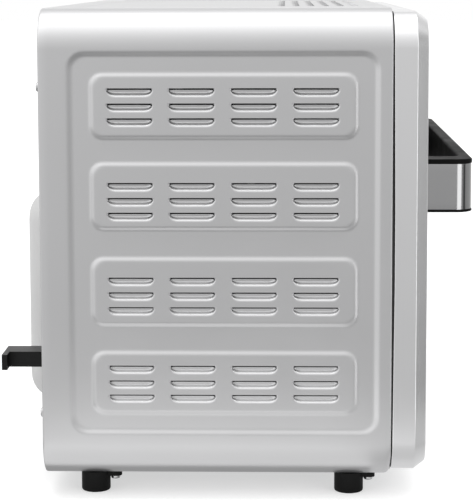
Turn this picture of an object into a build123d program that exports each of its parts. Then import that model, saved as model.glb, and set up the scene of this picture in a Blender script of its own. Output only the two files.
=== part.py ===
from build123d import *
import math
import os

os.makedirs("parts", exist_ok=True)

# A counter-top toaster oven. Millimetres. Origin on the surface it stands on, under the middle
# of its bounding box. +Z is up, the door and the handle face -Y, +X is the user's right seen
# from behind the oven.

# ---------------------------------------------------------------- driving dimensions
HALF_W = 259.2          # half of the casing's width
CASE_Z0 = 15.2          # underside of the casing (height of the feet)
CASE_Z1 = 356.6         # top of the casing
CASE_R = 27.5           # rounding along the casing's four long edges
CASE_Y0 = -113.4        # front edge of the wrapped casing
CASE_Y1 = 138.9         # rear edge of the casing
SHEET = 1.0             # casing sheet

BEZEL_HALF_W = 257.0    # front frame
BEZEL_Z0, BEZEL_Z1 = 18.4, 354.1
BEZEL_R = 26.0
BEZEL_YB, BEZEL_YF = -115.2, -139.1
BEVEL_Y, BEVEL_IN = 8.2, 6.0
BEZEL_T = 1.2

HINGE_Y, HINGE_Z = -133.0, 52.0     # door hinge axis, along X
DOOR_HALF_W = 236.0
DOOR_Z0, DOOR_Z1 = 44.8, 261.5
DOOR_YF, DOOR_YB = -138.9, -125.1

HANDLE_HALF_W = 197.3
HANDLE_YF = -177.2
HANDLE_Z0, HANDLE_Z1 = 203.5, 243.4
BAND_Z0, BAND_Z1 = 205.3, 240.0
HANDLE_R = 13.0
HANDLE_BAR = 9.0
HANDLE_ARM = 26.0

CAV_HALF_W = 213.0      # outside of the cavity's side walls
CAV_YB = 101.0
CAV_Z0, CAV_Z1 = 22.4, 251.0
CAV_T = 1.0

FAN_Z = 125.5           # axis of the convection fan, along Y
RACK_Z = 135.0          # top of the ledge that the rack slides on

FEET_X, FEET_Y = 228.0, (103.6, -84.0)
FOOT_R = 10.7


# ---------------------------------------------------------------- helpers
def bx(x0, x1, y0, y1, z0, z1):
    return Pos((x0 + x1) / 2, (y0 + y1) / 2, (z0 + z1) / 2) * Box(x1 - x0, y1 - y0, z1 - z0)


def rr_face_y(x0, x1, z0, z1, r, y):
    pl = Plane(origin=((x0 + x1) / 2, y, (z0 + z1) / 2), x_dir=(1, 0, 0), z_dir=(0, 1, 0))
    return pl * RectangleRounded(x1 - x0, z1 - z0, r)


def rr_y(x0, x1, z0, z1, r, y0, y1):
    """Rounded rectangle in XZ, extruded from y0 to y1 (y0 < y1)."""
    return extrude(rr_face_y(x0, x1, z0, z1, r, y0), amount=y1 - y0, dir=(0, 1, 0))


def rr_x(y0, y1, z0, z1, r, x0, x1):
    """Rounded rectangle in YZ, extruded from x0 to x1."""
    pl = Plane(origin=(x0, (y0 + y1) / 2, (z0 + z1) / 2), x_dir=(0, 1, 0), z_dir=(1, 0, 0))
    return extrude(pl * RectangleRounded(y1 - y0, z1 - z0, r), amount=x1 - x0, dir=(1, 0, 0))


def rr_z(x0, x1, y0, y1, r, z0, z1):
    pl = Plane(origin=((x0 + x1) / 2, (y0 + y1) / 2, z0), x_dir=(1, 0, 0), z_dir=(0, 0, 1))
    return extrude(pl * RectangleRounded(x1 - x0, y1 - y0, r), amount=z1 - z0, dir=(0, 0, 1))


def cyl_x(y, z, r, x0, x1):
    pl = Plane(origin=(x0, y, z), x_dir=(0, 1, 0), z_dir=(1, 0, 0))
    return extrude(pl * Circle(r), amount=x1 - x0, dir=(1, 0, 0))


def cyl_y(x, z, r, y0, y1):
    pl = Plane(origin=(x, y0, z), x_dir=(1, 0, 0), z_dir=(0, 1, 0))
    return extrude(pl * Circle(r), amount=y1 - y0, dir=(0, 1, 0))


def cyl_z(x, y, r, z0, z1):
    return Pos(x, y, z0) * extrude(Circle(r), amount=z1 - z0)


def mx(shape):
    return mirror(shape, about=Plane.YZ)


def both(shape):
    return [shape, mx(shape)]


def cut(a, tools):
    return a.cut(*tools) if tools else a


parts = {}


def put(name, *shapes):
    solids = []
    for s in shapes:
        for item in (s if isinstance(s, (list, tuple)) else [s]):
            solids.extend(item.solids())
    parts[name] = solids


# ---------------------------------------------------------------- casing
def case_out(inset, y0, y1):
    return rr_y(-HALF_W + inset, HALF_W - inset, CASE_Z0 + inset, CASE_Z1 - inset,
                CASE_R - inset, y0, y1)


def ring_out(inset, y0, y1):
    """Outline of the front chassis, which is also the inside of the front frame."""
    t = BEZEL_T + inset
    return rr_y(-BEZEL_HALF_W + t, BEZEL_HALF_W - t, BEZEL_Z0 + t, BEZEL_Z1 - t,
                BEZEL_R - t, y0, y1)


casing = case_out(0, CASE_Y0, CASE_Y1) - case_out(SHEET, CASE_Y0 - 1, CASE_Y1 + 1)
# turned-in edges: the front one seats on the chassis, the rear one takes the back panel
casing = casing + (case_out(SHEET, CASE_Y0, CASE_Y0 + 1.0) - ring_out(0, CASE_Y0 - 1, CASE_Y0 + 2))
casing = casing + (case_out(SHEET, 136.7, 137.7) - case_out(SHEET + 12, 136.0, 138.5))
# open underside between the two bottom flanges
casing = casing - bx(-205, 205, CASE_Y0 + 1.0, 136.7, CASE_Z0 - 1, CASE_Z0 + SHEET)

RECESS = (-102.8, 116.6, 51.2, 324.7)
PADS = [(-88.0, 101.3, 265.0, 310.0), (-88.0, 101.3, 199.5, 246.3),
        (-88.0, 101.3, 129.7, 177.9), (-88.0, 101.3, 65.2, 109.5)]
PRESS = 1.5             # depth of the pressed panel
y0, y1, z0, z1 = RECESS
boss = rr_x(y0 - 1, y1 + 1, z0 - 1, z1 + 1, 11.8, HALF_W - PRESS - SHEET, HALF_W - SHEET)
pocket = rr_x(y0, y1, z0, z1, 10.8, HALF_W - PRESS, HALF_W + 1)
casing = casing + both(boss)
casing = cut(casing, both(pocket))
pads, under = [], []
for a, b, c, d in PADS:
    pads += both(rr_x(a, b, c, d, 8.0, HALF_W - PRESS, HALF_W))
    under += both(rr_x(a + 1, b - 1, c + 1, d - 1, 7.0, HALF_W - PRESS - SHEET - 1, HALF_W - SHEET))
casing = casing + pads
casing = cut(casing, under)

# louvre openings: four columns of three in each pad, right through both sides
LOUVRE_Y = (90.5, 46.3, 2.0, -42.3)     # rear end of each
LOUVRE_L = 33.5
LOUVRE_Z = (300.3, 289.5, 279.0, 232.7, 221.9, 211.3, 164.3, 153.6, 142.8, 100.0, 89.1, 78.7)
slots = []
for zc in LOUVRE_Z:
    for yr in LOUVRE_Y:
        s = bx(HALF_W - 4, HALF_W + 2, yr - LOUVRE_L + 2.0, yr - 2.0, zc - 2.2, zc)
        slots += both(s)
# vent field on the top: six columns of slots
VENT_Y = [-35.0 - 11.8 * i for i in range(6)]
VENT_X = [-82.0 + 50.0 * i for i in range(6)]
for yc in VENT_Y:
    for xc in VENT_X:
        slots.append(bx(xc - 19, xc + 19, yc - 1.6, yc + 1.6, CASE_Z1 - 3, CASE_Z1 + 2))
casing = cut(casing, slots)
foot_screw_at = [(sx * FEET_X, fy - 14.6) for sx in (-1, 1) for fy in FEET_Y]
casing = cut(casing, [cyl_z(x, y, 1.8, CASE_Z0 - 2, CASE_Z0 + 3) for x, y in foot_screw_at])
back_screw_at = [(252.0, 301.0), (-252.0, 301.0), (252.0, 64.0), (-252.0, 64.0),
                 (120.0, 349.0), (-120.0, 349.0), (120.0, 22.5), (-120.0, 22.5)]
casing = cut(casing, [cyl_y(x, z, 1.6, 136, 139) for x, z in back_screw_at])
put("casing_wrap", casing)

# ---------------------------------------------------------------- base, feet
base = bx(-231.5, 231.5, CASE_Y0 + 1.4, 136.4, 16.2, 17.4)
base = cut(base, [bx(x - 22, x + 22, y - 1.6, y + 1.6, 15, 19)
                  for x in (-150, -90, -30, 30, 90, 150) for y in (110, 118, 126)])
base = cut(base, [cyl_z(x, y, 1.8, 15, 19) for x, y in foot_screw_at])
put("base_plate", base)

feet, foot_screws = [], []
for x in (-FEET_X, FEET_X):
    for fy in FEET_Y:
        f = cyl_z(x, fy, FOOT_R, 0, CASE_Z0)
        f = fillet(f.edges().sort_by(Axis.Z)[0], 1.4)
        tab = bx(x - 5.0, x + 5.0, fy - 19.3, fy - 5, 11.0, CASE_Z0)
        tab = fillet(tab.edges().filter_by(Axis.Z).sort_by(Axis.Y)[:2], 4.0)
        f = f + tab - cyl_z(x, fy - 14.6, 1.8, 5, 20)
        feet.append(f)
        head = cyl_z(x, fy - 14.6, 3.4, 8.4, 11.0)
        head = fillet(head.edges().sort_by(Axis.Z)[0], 0.9)
        foot_screws.append(head + cyl_z(x, fy - 14.6, 1.8, 11.0, 19.2))
put("feet", feet)
put("foot_screws", foot_screws)

# ---------------------------------------------------------------- back
back = case_out(SHEET, 137.7, CASE_Y1)
back = back - rr_y(-60, 60, 75, 176, 8, 137, 140)
vents = [rr_y(x - 22, x + 22, z - 2, z + 2, 1.9, 137, 140)
         for x in (-150, -90, -30, 30, 90, 150) for z in (244, 256, 268, 280, 292, 304)]
GLAND_X, GLAND_Z = 205.0, 56.0
housing_screw_at = [(135.0, 62.0), (-135.0, 62.0), (135.0, 189.0), (-135.0, 189.0),
                    (70.0, 214.0), (-70.0, 214.0), (70.0, 37.0), (-70.0, 37.0)]
HOOK_X0, HOOK_X1 = 167.0, 189.0
hook_screw_at = [(178.0, 89.4), (-178.0, 89.4)]
back = cut(back, vents + [cyl_y(GLAND_X, GLAND_Z, 7.0, 137, 140)]
           + [cyl_y(x, z, 1.6, 137, 140) for x, z in back_screw_at + housing_screw_at + hook_screw_at])
put("back_panel", back)

HOUSE_Y1 = 167.4


def house(inset, y0, y1, fr):
    s = rr_y(-131 + inset, 131 - inset, 41 + inset, 210 - inset, 24 - inset, y0, y1)
    return fillet(s.faces().sort_by(Axis.Y)[-1].edges(), fr)


housing = house(0, 138.9, HOUSE_Y1, 20.0) - house(1.0, 137.0, HOUSE_Y1 - 1.0, 19.0)
housing = housing + (rr_y(-139, 139, 33, 218, 30, 138.9, 139.9)
                     - rr_y(-130, 130, 42, 209, 23, 138.0, 141.0))
housing = cut(housing, [rr_y(x - 20, x + 20, z - 1.8, z + 1.8, 1.7, 160, 170)
                        for x in (-54, 0, 54) for z in (86, 96, 106, 116, 126, 136, 146, 156, 166)])
housing = cut(housing, [cyl_y(x, z, 1.6, 138, 141) for x, z in housing_screw_at])
put("rear_motor_housing", housing)

hooks = []
h = bx(HOOK_X0, HOOK_X1, 140.9, 174.0, 83.6, 95.3)
h = h + bx(HOOK_X0, 201.0, 173.1, 177.2, 83.6, 95.3)
h = h + bx(HOOK_X0 - 3, HOOK_X1 + 3, CASE_Y1, 140.9, 80.6, 98.3)
h = h - cyl_y(178.0, 89.4, 1.6, 130, 152)
hooks = both(h)
put("cord_hooks", hooks)

# pan-head screws: casing to back panel, housing and hooks to back panel
pan = []
for x, z in back_screw_at:
    hd = cyl_y(x, z, 3.4, CASE_Y1, CASE_Y1 + 1.9)
    hd = fillet(hd.edges().sort_by(Axis.Y)[-1], 1.1)
    pan.append(hd + cyl_y(x, z, 1.6, 131.0, CASE_Y1))
for x, z in housing_screw_at:
    hd = cyl_y(x, z, 3.4, 139.9, 141.8)
    hd = fillet(hd.edges().sort_by(Axis.Y)[-1], 1.1)
    pan.append(hd + cyl_y(x, z, 1.6, 132.0, 139.9))
for x, z in hook_screw_at:
    hd = cyl_y(x, z, 3.4, 135.8, 137.7)
    pan.append(hd + cyl_y(x, z, 1.6, 137.7, 146.0))
put("back_screws", pan)

gland = cyl_y(GLAND_X, GLAND_Z, 7.0, 133.0, CASE_Y1) + cyl_y(GLAND_X, GLAND_Z, 9.5, CASE_Y1, 141.9)
gland = gland + cyl_y(GLAND_X, GLAND_Z, 8.4, 134.0, 137.7)
gland = gland - cyl_y(GLAND_X, GLAND_Z, 3.9, 130, 145)
put("cord_gland", gland)

# ---------------------------------------------------------------- front chassis and frame
chassis = ring_out(0, -118.5, -98.0) - ring_out(BEZEL_T, -117.3, -97.0)
chassis = cut(chassis, [
    bx(-CAV_HALF_W, CAV_HALF_W, -120, -117, 59.4, CAV_Z1),
    rr_y(-210, 210, 24.0, 40.0, 2.0, -120, -117),
    rr_y(-200, 200, 272, 334, 4.0, -120, -117)])
# sill that closes the front of the cavity below the door glass
chassis = chassis + bx(-CAV_HALF_W + CAV_T, CAV_HALF_W - CAV_T, -124.5, -117.3, 59.4, 60.6)
put("chassis_front", chassis)


def bezel_body(inset):
    a = rr_face_y(-BEZEL_HALF_W + inset, BEZEL_HALF_W - inset, BEZEL_Z0 + inset, BEZEL_Z1 - inset,
                  BEZEL_R - inset, BEZEL_YF + BEVEL_Y + 0.5 * inset)
    b = rr_face_y(-BEZEL_HALF_W + BEVEL_IN + inset * 0.8, BEZEL_HALF_W - BEVEL_IN - inset * 0.8,
                  BEZEL_Z0 + BEVEL_IN + inset * 0.8, BEZEL_Z1 - BEVEL_IN - inset * 0.8,
                  BEZEL_R - BEVEL_IN - inset * 0.8, BEZEL_YF + inset)
    return loft([a, b]) + rr_y(-BEZEL_HALF_W + inset, BEZEL_HALF_W - inset, BEZEL_Z0 + inset,
                               BEZEL_Z1 - inset, BEZEL_R - inset, BEZEL_YF + BEVEL_Y + 0.5 * inset,
                               BEZEL_YB + (1.0 if inset else 0.0))


CTRL = (-233.0, 233.0, 269.0, 339.0)
bezel = bezel_body(0) - bezel_body(BEZEL_T)
opening = (-238.5, 238.5, 41.6, 264.5)
bezel = bezel + (rr_y(opening[0] - 1.2, opening[1] + 1.2, opening[2] - 1.2, opening[3] + 1.2, 6.2, -138.2, -124.0)
                 - rr_y(*opening, 5.0, -140, -123))
bezel = cut(bezel, [rr_y(*opening, 5.0, -141, -123), rr_y(*CTRL, 5.0, -141, -136),
                    rr_y(-217, 217, 26.4, 37.6, 2.5, -141, -136)]
            + [cyl_x(HINGE_Y, HINGE_Z, 3.3, 237, 241), cyl_x(HINGE_Y, HINGE_Z, 3.3, -241, -237)])
put("front_frame", bezel)

# ---------------------------------------------------------------- control panel
BTN_Z = 304.0
BTN_X = (-190.0, -150.0, -110.0, 110.0, 150.0, 190.0)
BTN = ("button_light", "button_fan", "button_mode", "button_minus", "button_plus", "button_start")
panel = rr_y(-232.7, 232.7, 269.3, 338.7, 4.7, -138.9, -136.4)
panel = panel + rr_y(-236, 236, 266.6, 342.0, 6.0, -137.9, -136.4)
panel = panel + [cyl_y(x, z, 3.0, -137.0, -128.0) for x in (-70, 70) for z in (283, 327)]
panel = cut(panel, [rr_y(-50, 50, 288, 322, 2.0, -140, -136)]
            + [rr_y(x - 13.3, x + 13.3, BTN_Z - 9.3, BTN_Z + 9.3, 4.3, -140, -136) for x in BTN_X]
            + [cyl_y(x, z, 1.2, -133.0, -127.0) for x in (-70, 70) for z in (283, 327)])
put("control_panel", panel)
put("display_lens", rr_y(-49.8, 49.8, 288.2, 321.8, 1.8, -138.9, -136.9))
put("display_module", bx(-47, 47, -136.3, -128.0, 290, 320))
board = bx(-208, 208, -128.0, -126.4, 278, 332)
board = board + [bx(x - 3.5, x + 3.5, -129.4, -127.5, BTN_Z - 3.5, BTN_Z + 3.5) for x in BTN_X]
board = board + [bx(-60, -20, -126.8, -120.5, 312, 326), bx(30, 52, -126.8, -122, 284, 296)]
board = cut(board, [cyl_y(x, z, 1.2, -129, -126) for x in (-70, 70) for z in (283, 327)])
put("control_board", board)
for name, x in zip(BTN, BTN_X):
    b = rr_y(x - 13.0, x + 13.0, BTN_Z - 9.0, BTN_Z + 9.0, 4.0, -138.9, -136.3)
    b = b + rr_y(x - 15.0, x + 15.0, BTN_Z - 11.0, BTN_Z + 11.0, 5.0, -136.3, -134.8)
    b = b + cyl_y(x, BTN_Z, 3.0, -135.0, -130.4)
    put(name, b)

# ---------------------------------------------------------------- cavity
cav = bx(-CAV_HALF_W, CAV_HALF_W, -124.5, CAV_YB, CAV_Z0, CAV_Z1)
cav = cav - bx(-CAV_HALF_W + CAV_T, CAV_HALF_W - CAV_T, -126, CAV_YB - CAV_T, CAV_Z0 - 3, CAV_Z1 - CAV_T)
cav = cav - bx(-CAV_HALF_W - 1, CAV_HALF_W + 1, -126, -117.3, CAV_Z0 - 1, 60.6)
UPPER = [(-80.0, 236.0), (-12.0, 236.0), (56.0, 236.0)]
LOWER = [(-62.0, 54.0), (48.0, 54.0)]
LAMP_Y, LAMP_Z = 60.0, 190.0
cav = cut(cav, [cyl_y(0, FAN_Z, 74.0, 99, 102)]
          + [cyl_x(y, z, 7.0, -216, 216) for y, z in UPPER + LOWER]
          + [cyl_x(LAMP_Y, LAMP_Z, 20.0, 211, 214), cyl_y(-150, 215, 2.0, 99, 102)]
          + [bx(x - 8, x + 8, 80, 84, 249, 252) for x in (-90, -60, 60, 90)])
put("cavity_shell", cav)

guide = bx(211, 212, -108, 92, 84, 186)
for zl in (100.0, RACK_Z, 170.0):
    guide = guide + bx(203, 211.5, -108, 92, zl - 1.2, zl)
guide = guide - cyl_x(LAMP_Y, LAMP_Z, 22.0, 200, 214)
guide_r = guide
guide_l = mx(bx(211, 212, -108, 92, 84, 186) + [bx(203, 211.5, -108, 92, zl - 1.2, zl)
                                               for zl in (100.0, RACK_Z, 170.0)])
put("rack_guides", guide_r, guide_l)

bracket = bx(213, 214.2, -96, 95, 17.4, 43.5) + bx(213, 224, -96, 95, 17.4, 18.6)
bracket = cut(bracket, [bx(212, 215, y - 12, y + 12, 26, 38) for y in (-30, 10)])
put("cavity_brackets", both(bracket))

rail = bx(199, 212, -117.3, 100, 25.6, 26.7) + bx(210.8, 212, -117.3, 100, 26.7, 38)
put("tray_rails", both(rail))

put("upper_heaters", [cyl_x(y, z, 4.0, -222, 222) for y, z in UPPER])
put("lower_heaters", [cyl_x(y, z, 4.0, -222, 222) for y, z in LOWER])
bush = []
for y, z in UPPER + LOWER:
    b = cyl_x(y, z, 7.0, 210.0, 220.0) + cyl_x(y, z, 9.0, 213.0, 216.0)
    b = b - cyl_x(y, z, 4.0, 205, 225)
    bush += both(b)
put("heater_bushes", bush)

put("temperature_probe", cyl_y(-150, 215, 2.0, 66, 112) + cyl_y(-150, 215, 4.0, 101, 108))
cutoff = cyl_z(-120, 30, 8.0, 251, 258) + bx(-132, -108, 28.5, 31.5, 251, 252.4) + bx(-124, -122, 28, 32, 257, 261) \
    + bx(-118, -116, 28, 32, 257, 261)
put("thermal_cutoff", cutoff)
lens = cyl_x(LAMP_Y, LAMP_Z, 20.0, 204.0, 213.0)
lens = fillet(lens.edges().sort_by(Axis.X)[0], 6.0)
lens = lens + cyl_x(LAMP_Y, LAMP_Z, 23.0, 213.0, 214.5)
lens = lens - cyl_x(LAMP_Y, LAMP_Z, 15.5, 206.0, 216.0)
put("lamp_lens", lens)
lamp = cyl_x(LAMP_Y, LAMP_Z, 7.0, 209.0, 226.0)
lamp = fillet(lamp.edges().sort_by(Axis.X)[0], 5.0)
lamp = lamp + cyl_x(LAMP_Y, LAMP_Z, 11.0, 222.0, 240.0) + cyl_x(LAMP_Y, LAMP_Z, 23.0, 222.0, 223.2) \
    + [bx(214.5, 223.0, LAMP_Y - 22.5, LAMP_Y - 20.5, LAMP_Z - 8, LAMP_Z + 8),
       bx(214.5, 223.0, LAMP_Y + 20.5, LAMP_Y + 22.5, LAMP_Z - 8, LAMP_Z + 8)]
put("oven_lamp", lamp)

# ---------------------------------------------------------------- convection fan
chamber = cyl_y(0, FAN_Z, 84.0, CAV_YB, 102.2) + cyl_y(0, FAN_Z, 76.0, CAV_YB, 128.0)
chamber = chamber - cyl_y(0, FAN_Z, 74.8, 100, 126.8) - cyl_y(0, FAN_Z, 8.0, 120, 130)
put("fan_chamber", chamber)
cover = cyl_y(0, FAN_Z, 82.0, 98.8, 100.0)
sl = []
for k in range(24):
    for r0, r1 in ((18.0, 40.0), (46.0, 68.0)):
        if r0 < 30 and k % 2:
            continue
        s = bx(r0, r1, 98, 101, FAN_Z - 2.0, FAN_Z + 2.0)
        sl.append(Pos(0, 0, FAN_Z) * Rot(0, 15.0 * k, 0) * Pos(0, 0, -FAN_Z) * s)
cover = cut(cover, sl)
put("fan_cover", cover)

fan = cyl_y(0, FAN_Z, 10.0, 107.0, 121.0) + cyl_y(0, FAN_Z, 58.0, 120.0, 121.0)
blades = []
for k in range(10):
    s = bx(24.0, 62.0, 106.5, 121.0, FAN_Z - 0.6, FAN_Z + 0.6)
    s = Pos(24, 0, FAN_Z) * Rot(0, 25, 0) * Pos(-24, 0, -FAN_Z) * s
    blades.append(Pos(0, 0, FAN_Z) * Rot(0, 36.0 * k, 0) * Pos(0, 0, -FAN_Z) * s)
fan = fan + blades
fan = fan - cyl_y(0, FAN_Z, 4.0, 100, 130)
put("convection_fan", fan)
put("fan_shaft", cyl_y(0, FAN_Z, 4.0, 104.0, 163.0))

mb = rr_y(-34, 34, FAN_Z - 32, FAN_Z + 32, 5, 132.8, 134.0) + rr_y(-34, 34, FAN_Z - 32, FAN_Z + 32, 5, 152.0, 153.2)
mb = mb + [cyl_y(sx * 30, FAN_Z + sz * 28, 2.5, 128.0, 152.6) for sx in (-1, 1) for sz in (-1, 1)]
mb = mb - cyl_y(0, FAN_Z, 8.0, 131, 155)
put("motor_bracket", mb)
stator = bx(-26, 26, 135.0, 151.0, FAN_Z - 26, FAN_Z + 26)
stator = stator - cyl_y(0, FAN_Z, 14.0, 134, 152)
put("motor_stator", stator)
put("motor_rotor", cyl_y(0, FAN_Z, 13.0, 136.5, 149.5) - cyl_y(0, FAN_Z, 4.0, 135, 151))
mbush = [cyl_y(0, FAN_Z, 8.0, ya, yb) - cyl_y(0, FAN_Z, 4.05, ya - 1, yb + 1)
         for ya, yb in ((130.0, 134.6), (151.6, 155.2))]
put("motor_bushes", mbush)
cf = cyl_y(0, FAN_Z, 8.0, 156.2, 162.0)
for k in range(6):
    s = bx(6.0, 30.0, 156.6, 161.6, FAN_Z - 0.6, FAN_Z + 0.6)
    s = Pos(0, 159.1, FAN_Z) * Rot(28, 0, 0) * Pos(0, -159.1, -FAN_Z) * s
    cf = cf + Pos(0, 0, FAN_Z) * Rot(0, 60.0 * k, 0) * Pos(0, 0, -FAN_Z) * s
cf = cf - cyl_y(0, FAN_Z, 4.0, 150, 170)
put("motor_cooling_fan", cf)

# ---------------------------------------------------------------- electronics above the cavity
shield = bx(-208, 208, -112, 98, 262, 263) + both(bx(207, 208, -112, 98, 251, 262.5))
shield = shield + [cyl_z(x, y, 3.0, 262.5, 272.0) for x in (46, 174) for y in (-34, 64)]
put("heat_shield", shield)
pb = bx(40, 180, -40, 70, 272.0, 273.6)
pb = pb + [bx(50, 70, -30, -2, 273.0, 288), bx(80, 100, -30, -2, 273.0, 288), bx(110, 130, -30, -2, 273.0, 288),
           bx(56, 92, 22, 54, 273.0, 300), cyl_z(120, 38, 8.0, 273.0, 296), cyl_z(146, 38, 6.0, 273.0, 290),
           bx(150, 172, -32, -6, 273.0, 284)]
put("power_board", pb)

# ---------------------------------------------------------------- door
door = rr_y(-DOOR_HALF_W, DOOR_HALF_W, DOOR_Z0, DOOR_Z1, 4.0, DOOR_YF, -126.3)
door = door - rr_y(-DOOR_HALF_W + 1.2, DOOR_HALF_W - 1.2, DOOR_Z0 + 1.2, DOOR_Z1 - 1.2, 2.8, DOOR_YF + 1.2, -125)
door = cut(door, [rr_y(-198, 198, 70, 190, 6.0, -140, -137)]
           + [cyl_x(HINGE_Y, HINGE_Z, 3.3, 230, 240), cyl_x(HINGE_Y, HINGE_Z, 3.3, -240, -230)]
           + [cyl_y(sx * 184.3, z, 2.0, -140, -137) for sx in (-1, 1) for z in (213.5, 231.5)])
put("door_frame", door)
put("door_glass_outer", rr_y(-206, 206, 62, 198, 3.0, -137.7, -133.7))
put("glass_spacer", rr_y(-206, 206, 62, 198, 3.0, -133.7, -129.3) - rr_y(-197, 197, 71, 189, 5.0, -134, -129))
put("door_glass_inner", rr_y(-203, 203, 65, 195, 3.0, -129.3, -126.3))
inner = rr_y(-DOOR_HALF_W, DOOR_HALF_W, DOOR_Z0, DOOR_Z1, 4.0, -126.3, DOOR_YB)
inner = inner + (rr_y(-DOOR_HALF_W + 1.2, DOOR_HALF_W - 1.2, DOOR_Z0 + 1.2, DOOR_Z1 - 1.2, 2.8, -132.0, -126.3)
                 - bx(-DOOR_HALF_W + 2.4, DOOR_HALF_W - 2.4, -133.0, -126.3, DOOR_Z0 + 2.4, DOOR_Z1 - 2.4))
inner = cut(inner, [rr_y(-194, 194, 74, 186, 5.0, -127, -125)]
            + [cyl_x(HINGE_Y, HINGE_Z, 3.3, 230, 240), cyl_x(HINGE_Y, HINGE_Z, 3.3, -240, -230)]
            + [cyl_y(sx * 228, 59.5, 1.5, -128, -124) for sx in (-1, 1)])
put("door_inner_panel", inner)
plate = bx(222, DOOR_HALF_W - 2.4, -137.7, -126.3, DOOR_Z0 + 2.4, 66)
plate = cut(plate, [cyl_x(HINGE_Y, HINGE_Z, 3.05, 215, 240), cyl_y(228, 59.5, 1.5, -131.5, -125)])
put("door_hinge_plates", both(plate))
hs = cyl_y(228, 59.5, 3.0, DOOR_YB, DOOR_YB + 1.4) + cyl_y(228, 59.5, 1.5, -131.5, DOOR_YB)
put("hinge_screws", both(hs))

pin = cyl_x(HINGE_Y, HINGE_Z, 3.0, 207.0, 243.0) + cyl_x(HINGE_Y, HINGE_Z, 4.6, 242.9, 244.4)
put("hinge_pins", both(pin))
hb = bx(240.4, 242.9, -137.6, -118.5, 43, 62) + bx(240.4, 252, -119.9, -118.5, 43, 62)
hb = hb - cyl_x(HINGE_Y, HINGE_Z, 3.0, 238, 244)
put("hinge_brackets", both(hb))

# torsion springs round the pins, which help the door up: seven turns of 1.2 mm wire
helix = Helix(pitch=1.7, height=10.2, radius=4.0, center=(0, 0, 0), direction=(0, 0, 1))
start = Plane(origin=helix @ 0, z_dir=helix % 0)
coil = sweep(start * Circle(0.6), path=helix, is_frenet=True)
coil = Pos(209.6, HINGE_Y, HINGE_Z) * Rot(0, 90, 0) * coil
put("door_springs", both(coil))


def bow(inset, z0, z1):
    s = rr_z(-HANDLE_HALF_W + inset, HANDLE_HALF_W - inset, HANDLE_YF + inset, -100.0,
             HANDLE_R - inset, z0, z1)
    return s - bx(-300, 300, DOOR_YF, 0, z0 - 1, z1 + 1)


grip = rr_z(-HANDLE_HALF_W + HANDLE_ARM, HANDLE_HALF_W - HANDLE_ARM, HANDLE_YF + HANDLE_BAR, -100.0, 6.0,
            HANDLE_Z0 - 5, HANDLE_Z1 + 5)
core = bow(0, HANDLE_Z0, BAND_Z0) + bow(1.5, BAND_Z0, BAND_Z1) + bow(0, BAND_Z1, HANDLE_Z1)
core = cut(core, [grip] + [cyl_y(sx * 184.3, z, 2.0, -156, -135) for sx in (-1, 1) for z in (213.5, 231.5)])
put("handle_core", core)
band = bow(0.5, BAND_Z0, BAND_Z1) - bow(1.5, BAND_Z0 - 1, BAND_Z1 + 1)
put("handle_band", band)
hsc = []
for sx in (-1, 1):
    for z in (213.5, 231.5):
        hsc.append(cyl_y(sx * 184.3, z, 2.0, -156.0, -137.7) + cyl_y(sx * 184.3, z, 3.8, -137.7, -135.3))
put("handle_screws", hsc)

# magnetic catches that draw the rack out with the door
CATCH_X, CATCH_Z = 150.0, 141.0
put("rack_catches", both(rr_y(CATCH_X + 50, CATCH_X + 62, CATCH_Z - 4, CATCH_Z + 4, 1.5, DOOR_YB, DOOR_YB + 2.0)))

# ---------------------------------------------------------------- rack
rz = RACK_Z + 2.7


def rod(p, q, r):
    """A round rod between two points in one plane of the rack."""
    v = Vector(*q) - Vector(*p)
    return extrude(Plane(origin=p, z_dir=v) * Circle(r), amount=v.length)


# the outer loop: four straight rods joined by quarter rings
loop = []
LX, LYF, LYB, LR = 206.5, -105.0, 85.0, 10.0
loop.append(rod((-LX + LR, LYF, rz), (LX - LR, LYF, rz), 2.5))
loop.append(rod((-LX + LR, LYB, rz), (LX - LR, LYB, rz), 2.5))
for sx in (-1, 1):
    loop.append(rod((sx * LX, LYF + LR, rz), (sx * LX, LYB - LR, rz), 2.5))
    for cy in (LYF + LR, LYB - LR):
        corner = Torus(LR, 2.5)
        corner = Pos(sx * (LX - LR), cy, rz) * corner
        x0, x1 = (LX - LR, LX + 5) if sx > 0 else (-LX - 5, -LX + LR)
        y0, y1 = (cy - 15, cy) if cy < 0 else (cy, cy + 15)
        loop.append(corner & bx(x0, x1, y0, y1, rz - 4, rz + 4))
rack = loop[0]
for piece in loop[1:]:
    rack = rack + piece
for i in range(17):
    x = -192.0 + 24.0 * i
    rack = rack + rod((x, LYF, rz + 0.9), (x, LYB, rz + 0.9), 1.5)
for y in (-60.3, 40.3):
    rack = rack + rod((-LX, y, rz - 0.3), (LX, y, rz - 0.3), 1.7)
for sx in (-1, 1):
    for xx, ye in ((201.5, -103.6), (205.5, -99.3)):
        rack = rack + rod((sx * xx, -122.3, rz), (sx * xx, ye, rz), 1.5)
    rack = rack + rod((sx * 199.6, -121.0, rz), (sx * 207.6, -121.0, rz), 1.4)
put("wire_rack", rack)

# ---------------------------------------------------------------- crumb tray
tray = bx(-206, 206, -137.5, 92, 27.0, 33.0) - bx(-205.2, 205.2, -136.0, 91.2, 27.8, 34.0)
tray = tray + rr_y(-216.4, 216.4, 27.0, 37.0, 2.0, -138.9, -137.0)
tray = tray + bx(-60, 60, -144.0, -138.0, 34.6, 36.2)
put("crumb_tray", tray)

# ---------------------------------------------------------------- write
for name, solids in parts.items():
    comp = Compound(children=list(solids)) if len(solids) > 1 else solids[0]
    comp.label = name
    export_step(comp, f"parts/{name}.step")
print(len(parts), "nodes written")
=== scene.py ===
import bpy
import bmesh
import math
import numpy as np
from mathutils import Vector, Matrix


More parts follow.
